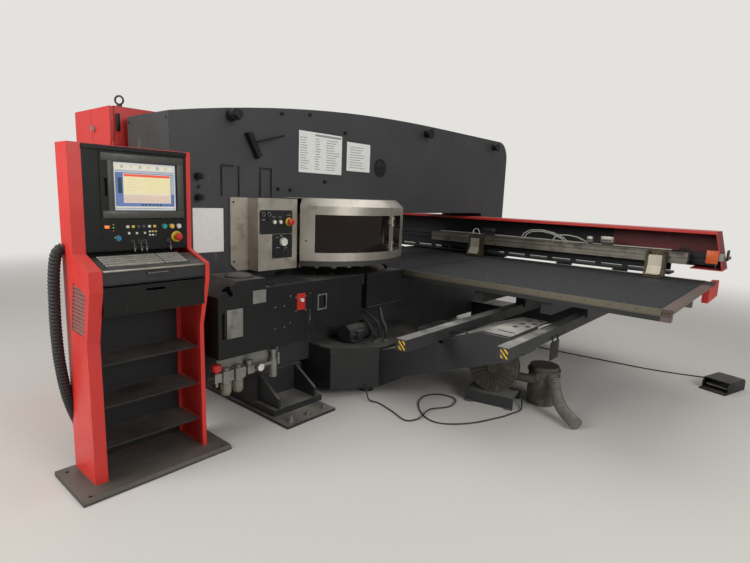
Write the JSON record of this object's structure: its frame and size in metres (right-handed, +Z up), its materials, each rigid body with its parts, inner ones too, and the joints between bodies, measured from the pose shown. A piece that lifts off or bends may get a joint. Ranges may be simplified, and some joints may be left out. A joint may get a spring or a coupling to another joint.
{
  "type": "cnc turret punch press",
  "caption": "Turret punch press: closed box frame with a throat, turning turrets under an arc guard, sliding brush tables with a clamp carriage, cabinet, console and foot pedal.",
  "frame": {"origin": "centre of the underside of the levelling pad below the turret axis, on the floor", "axes": "+X to the operator's right table, +Y towards the rear of the throat, +Z up along the turret axis"},
  "size_m": [5.3903, 4.772, 2.157],
  "materials": {
    "frame_grey": "satin paint",
    "cover_grey": "satin paint",
    "black_paint": "satin paint",
    "machine_red": "semi-gloss paint",
    "stainless": "brushed",
    "machined_steel": "machined and oiled",
    "turret_iron": "machined",
    "brush_table": "black brush top",
    "brush_plastic": "bristle",
    "clamp_bronze": "worn",
    "clamp_cream": "satin paint",
    "black_plastic": "textured",
    "screen_glass": "lit display",
    "window_acrylic": "dark tinted",
    "red_plastic": "gloss",
    "white_plastic": "gloss",
    "blue_plastic": "gloss",
    "teal_plastic": "gloss",
    "yellow_plastic": "gloss",
    "air_metal": "cast",
    "bowl_plastic": "aged clear",
    "blower_metal": "dusty cast",
    "hose_plastic": "corrugated",
    "cord_rubber": "matt",
    "tread_metal": "worn"
  },
  "bodies": {
    "machine": {"frame": "frame_grey", "front_cover": "cover_grey", "feet": "frame_grey", "base": "black_paint", "table_arms": "frame_grey", "y_rails": "frame_grey", "centre_table": "brush_table", "control_box": "stainless", "guard_panels": "stainless", "lower_covers": "frame_grey", "brush_strips": "brush_plastic", "switch_plate": "machine_red", "air_unit": "air_metal", "air_bowls": "bowl_plastic", "cabinet_body": "machine_red", "console_body": "machine_red", "console_panel": "black_plastic", "screen": "screen_glass", "console_conduit": "cord_rubber", "blower_stand": "black_paint", "blower": "blower_metal", "canister": "blower_metal", "blower_hose": "hose_plastic", "blower_cord": "cord_rubber", "pedal_body": "black_paint", "pedal_cord": "cord_rubber", "plate_fittings": "black_paint", "turret_shafts": "machined_steel", "ram_guide": "machined_steel"},
    "carriage": {"carriage_base": "black_paint", "side_table_right": "brush_table", "side_table_left": "brush_table", "carriage_cover": "machine_red"},
    "x_carriage": {"x_beam": "machined_steel", "clamp_bodies": "clamp_bronze"},
    "jaw_near": {"clamp_jaw_near": "clamp_cream"},
    "jaw_far": {"clamp_jaw_far": "clamp_cream"},
    "upper_turret_disc": {"upper_turret": "turret_iron", "upper_tools": "machined_steel"},
    "lower_turret_disc": {"lower_turret": "turret_iron"},
    "ram_body": {"ram": "machined_steel"},
    "door_of_guard": {"guard_door": "stainless", "guard_window": "window_acrylic"},
    "left_door": {"cabinet_door_left": "machine_red"},
    "right_door": {"cabinet_door_right": "machine_red"},
    "tray": {"keyboard_tray": "black_plastic"},
    "drawer_body": {"drawer": "black_paint"},
    "console_mushroom": {"console_estop": "red_plastic"},
    "power_cap": {"power_button": "blue_plastic"},
    "start_cap": {"start_button": "teal_plastic"},
    "hold_cap": {"hold_button": "yellow_plastic"},
    "reset_cap": {"reset_button": "white_plastic"},
    "box_mushroom": {"box_estop": "red_plastic"},
    "box_cap_left": {"box_button_left": "white_plastic"},
    "box_cap_right": {"box_button_right": "white_plastic"},
    "selector": {"box_selector": "machined_steel"},
    "dial": {"box_dial": "black_plastic"},
    "switch_handle": {"switch_knob": "white_plastic"},
    "valve_handle": {"air_knob": "red_plastic"},
    "tread": {"pedal_tread": "tread_metal"}
  },
  "joints": [
    {"name": "y_travel", "type": "slide", "parent": "machine", "child": "carriage", "axis": [0, 1, 0], "range_m": [-1.245, 0]},
    {"name": "x_travel", "type": "slide", "parent": "carriage", "child": "x_carriage", "axis": [1, 0, 0], "range_m": [-2.31, 0.14]},
    {"name": "near_jaw", "type": "hinge", "parent": "x_carriage", "child": "jaw_near", "pos_m": [0.421, 1.838, 1.004], "axis": [1, 0, 0], "range_deg": [0, 5], "stiffness_Nm_per_rad": 200, "springref_deg": -2.86},
    {"name": "far_jaw", "type": "hinge", "parent": "x_carriage", "child": "jaw_far", "pos_m": [2.115, 1.838, 1.004], "axis": [1, 0, 0], "range_deg": [0, 5], "stiffness_Nm_per_rad": 200, "springref_deg": -2.86},
    {"name": "upper_turret_turn", "type": "hinge", "parent": "machine", "child": "upper_turret_disc", "pos_m": [0, 0, 1.034], "axis": [0, 0, 1], "continuous": true},
    {"name": "lower_turret_turn", "type": "hinge", "parent": "machine", "child": "lower_turret_disc", "pos_m": [0, 0, 0.88], "axis": [0, 0, 1], "continuous": true},
    {"name": "ram_stroke", "type": "slide", "parent": "machine", "child": "ram_body", "axis": [0, 0, -1], "range_m": [0, 0.035]},
    {"name": "guard_swing", "type": "hinge", "parent": "machine", "child": "door_of_guard", "pos_m": [0.69185, 0.0997, 1.24], "axis": [0, 0, 1], "range_deg": [0, 100]},
    {"name": "left_door_swing", "type": "hinge", "parent": "machine", "child": "left_door", "pos_m": [-0.906, -1.467, 1], "axis": [0, 0, -1], "range_deg": [0, 110]},
    {"name": "right_door_swing", "type": "hinge", "parent": "machine", "child": "right_door", "pos_m": [-0.32, -1.467, 1], "axis": [0, 0, 1], "range_deg": [0, 110]},
    {"name": "tray_pull", "type": "slide", "parent": "machine", "child": "tray", "axis": [1, 0, 0], "range_m": [0, 0.25]},
    {"name": "drawer_pull", "type": "slide", "parent": "machine", "child": "drawer_body", "axis": [1, 0, 0], "range_m": [0, 0.25]},
    {"name": "console_stop_push", "type": "slide", "parent": "machine", "child": "console_mushroom", "axis": [-1, 0, 0], "range_m": [0, 0.005], "stiffness_N_per_m": 800, "springref_m": -0.002},
    {"name": "power_push", "type": "slide", "parent": "machine", "child": "power_cap", "axis": [-1, 0, 0], "range_m": [0, 0.003], "stiffness_N_per_m": 800, "springref_m": -0.002},
    {"name": "start_push", "type": "slide", "parent": "machine", "child": "start_cap", "axis": [-1, 0, 0], "range_m": [0, 0.003], "stiffness_N_per_m": 800, "springref_m": -0.002},
    {"name": "hold_push", "type": "slide", "parent": "machine", "child": "hold_cap", "axis": [-1, 0, 0], "range_m": [0, 0.003], "stiffness_N_per_m": 800, "springref_m": -0.002},
    {"name": "reset_push", "type": "slide", "parent": "machine", "child": "reset_cap", "axis": [-1, 0, 0], "range_m": [0, 0.003], "stiffness_N_per_m": 800, "springref_m": -0.002},
    {"name": "box_stop_push", "type": "slide", "parent": "machine", "child": "box_mushroom", "axis": [-1, 0, 0], "range_m": [0, 0.005], "stiffness_N_per_m": 800, "springref_m": -0.002},
    {"name": "box_left_push", "type": "slide", "parent": "machine", "child": "box_cap_left", "axis": [-1, 0, 0], "range_m": [0, 0.003], "stiffness_N_per_m": 800, "springref_m": -0.002},
    {"name": "box_right_push", "type": "slide", "parent": "machine", "child": "box_cap_right", "axis": [-1, 0, 0], "range_m": [0, 0.003], "stiffness_N_per_m": 800, "springref_m": -0.002},
    {"name": "selector_turn", "type": "hinge", "parent": "machine", "child": "selector", "pos_m": [0.389, -0.685, 1.176], "axis": [1, 0, 0], "range_deg": [-45, 45]},
    {"name": "dial_turn", "type": "hinge", "parent": "machine", "child": "dial", "pos_m": [0.389, -0.661, 1.106], "axis": [1, 0, 0], "range_deg": [-135, 135]},
    {"name": "switch_turn", "type": "hinge", "parent": "machine", "child": "switch_handle", "pos_m": [0.596, -0.696, 0.812], "axis": [1, 0, 0], "range_deg": [0, 90]},
    {"name": "valve_turn", "type": "hinge", "parent": "machine", "child": "valve_handle", "pos_m": [0.5, -1.27, 0.44], "axis": [0, 0, 1], "range_deg": [0, 90]},
    {"name": "tread_press", "type": "hinge", "parent": "machine", "child": "tread", "pos_m": [2.60354, 2.32408, 0.034], "axis": [0.9521, -0.3057, 0], "range_deg": [0, 6], "stiffness_Nm_per_rad": 40, "springref_deg": -5.73}
  ],
  "couplings": [
    {"joint": "lower_turret_turn", "follows": "upper_turret_turn", "ratio": 1}
  ]
}
